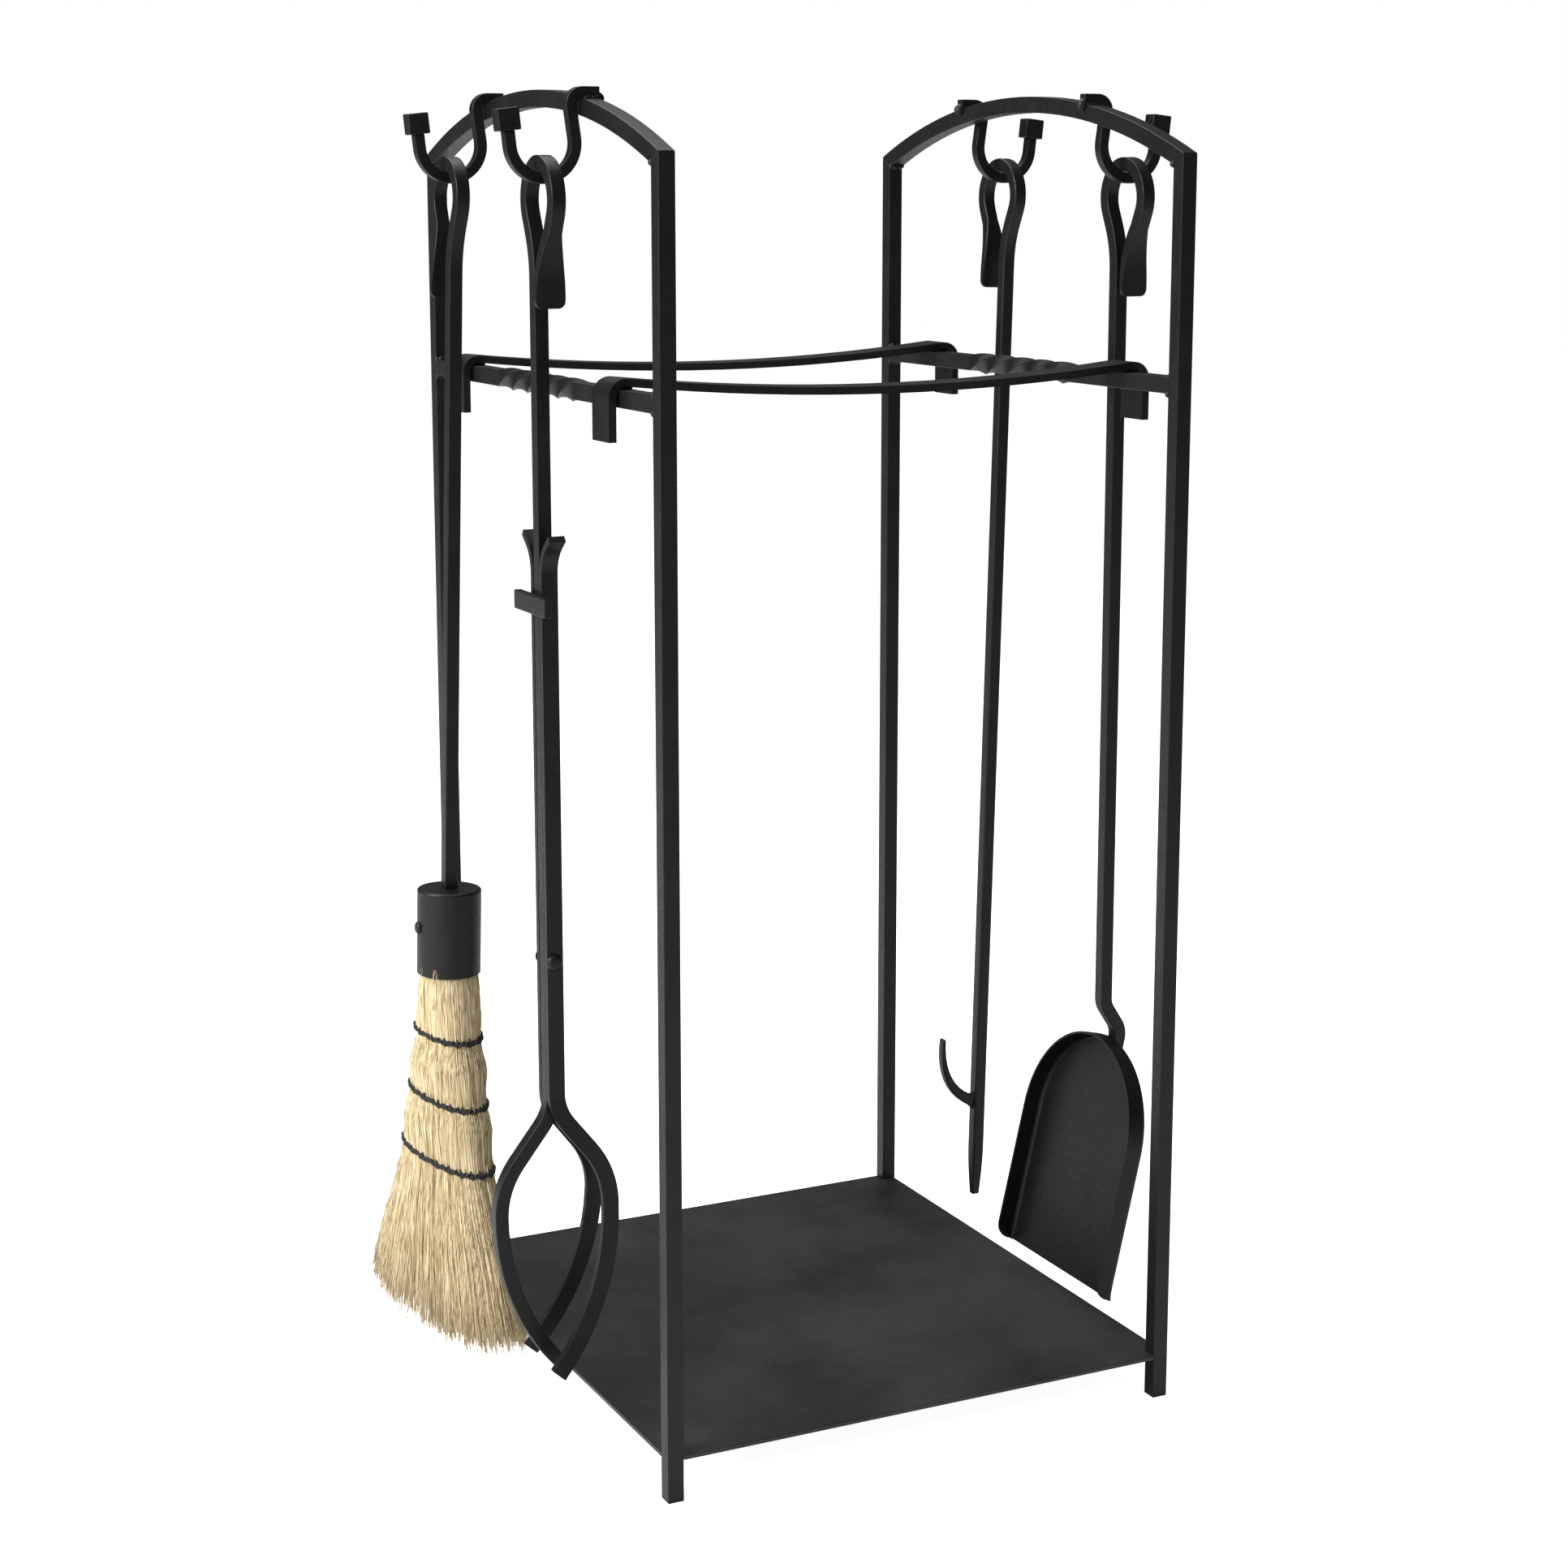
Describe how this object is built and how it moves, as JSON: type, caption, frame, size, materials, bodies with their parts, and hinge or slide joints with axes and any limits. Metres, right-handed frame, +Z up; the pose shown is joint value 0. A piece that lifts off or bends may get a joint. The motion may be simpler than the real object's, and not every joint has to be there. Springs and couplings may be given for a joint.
{
  "type": "fireplace tool set with log rack",
  "caption": "Black square-bar log rack with arched ends and a base plate; a straw brush, tongs, a poker and a shovel hang from its hooks.",
  "frame": {"origin": "on the floor, under the middle of the whole set's bounding box; the rack's own middle is 15 mm to its right", "axes": "+X from the left end frame, with the brush and tongs, to the right one, with the poker and shovel; +Y from the front to the back; +Z up"},
  "size_m": [0.4705, 0.366, 0.798],
  "materials": {
    "powder_coat": "matte black powder coat with a fine texture",
    "plate_coat": "matte dark powder coat with faint scratches",
    "straw": "dry natural straw fibres",
    "twine": "black twisted twine",
    "core_wood": "plain turned wood, hidden inside the ferrule"
  },
  "bodies": {
    "rack": {"post_front_left": "powder_coat", "post_back_left": "powder_coat", "post_front_right": "powder_coat", "post_back_right": "powder_coat", "arch_left": "powder_coat", "arch_right": "powder_coat", "crossbar_left": "powder_coat", "crossbar_right": "powder_coat", "strap_front": "powder_coat", "strap_back": "powder_coat", "base_plate": "plate_coat", "hook_brush": "powder_coat", "hook_tongs": "powder_coat", "hook_poker": "powder_coat", "hook_shovel": "powder_coat", "knob_brush": "powder_coat", "knob_tongs": "powder_coat", "knob_poker": "powder_coat", "knob_shovel": "powder_coat"},
    "brush": {"brush_rod": "powder_coat", "brush_ferrule": "powder_coat", "ferrule_screw": "powder_coat", "brush_core": "core_wood", "bristle_head": "straw", "stitch_row_top": "twine", "stitch_row_middle": "twine", "stitch_row_bottom": "twine"},
    "tongs": {"tongs_rod": "powder_coat", "tongs_rivet": "powder_coat"},
    "tongs_yoke": {"tongs_yoke_front": "powder_coat", "tongs_yoke_back": "powder_coat", "tongs_cross_plate": "powder_coat"},
    "poker": {"poker_rod": "powder_coat", "poker_tine": "powder_coat"},
    "shovel": {"shovel_rod": "powder_coat", "shovel_pan": "powder_coat"}
  },
  "joints": [
    {"name": "brush_swing", "type": "hinge", "parent": "rack", "child": "brush", "pos_m": [-0.1776, 0.075, 0.76703], "axis": [0, 1, 0], "range_deg": [-8, 30]},
    {"name": "tongs_swing", "type": "hinge", "parent": "rack", "child": "tongs", "pos_m": [-0.1776, -0.075, 0.76703], "axis": [0, 1, 0], "range_deg": [-6.5, 30]},
    {"name": "tongs_pivot", "type": "hinge", "parent": "tongs", "child": "tongs_yoke", "pos_m": [-0.1776, -0.0666, 0.29703], "axis": [0, 1, 0], "range_deg": [-22, 0]},
    {"name": "poker_swing", "type": "hinge", "parent": "rack", "child": "poker", "pos_m": [0.2076, 0.075, 0.76703], "axis": [0, 1, 0], "range_deg": [-30, 5.1]},
    {"name": "shovel_swing", "type": "hinge", "parent": "rack", "child": "shovel", "pos_m": [0.2076, -0.075, 0.76703], "axis": [0, 1, 0], "range_deg": [-30, 6.5]}
  ]
}
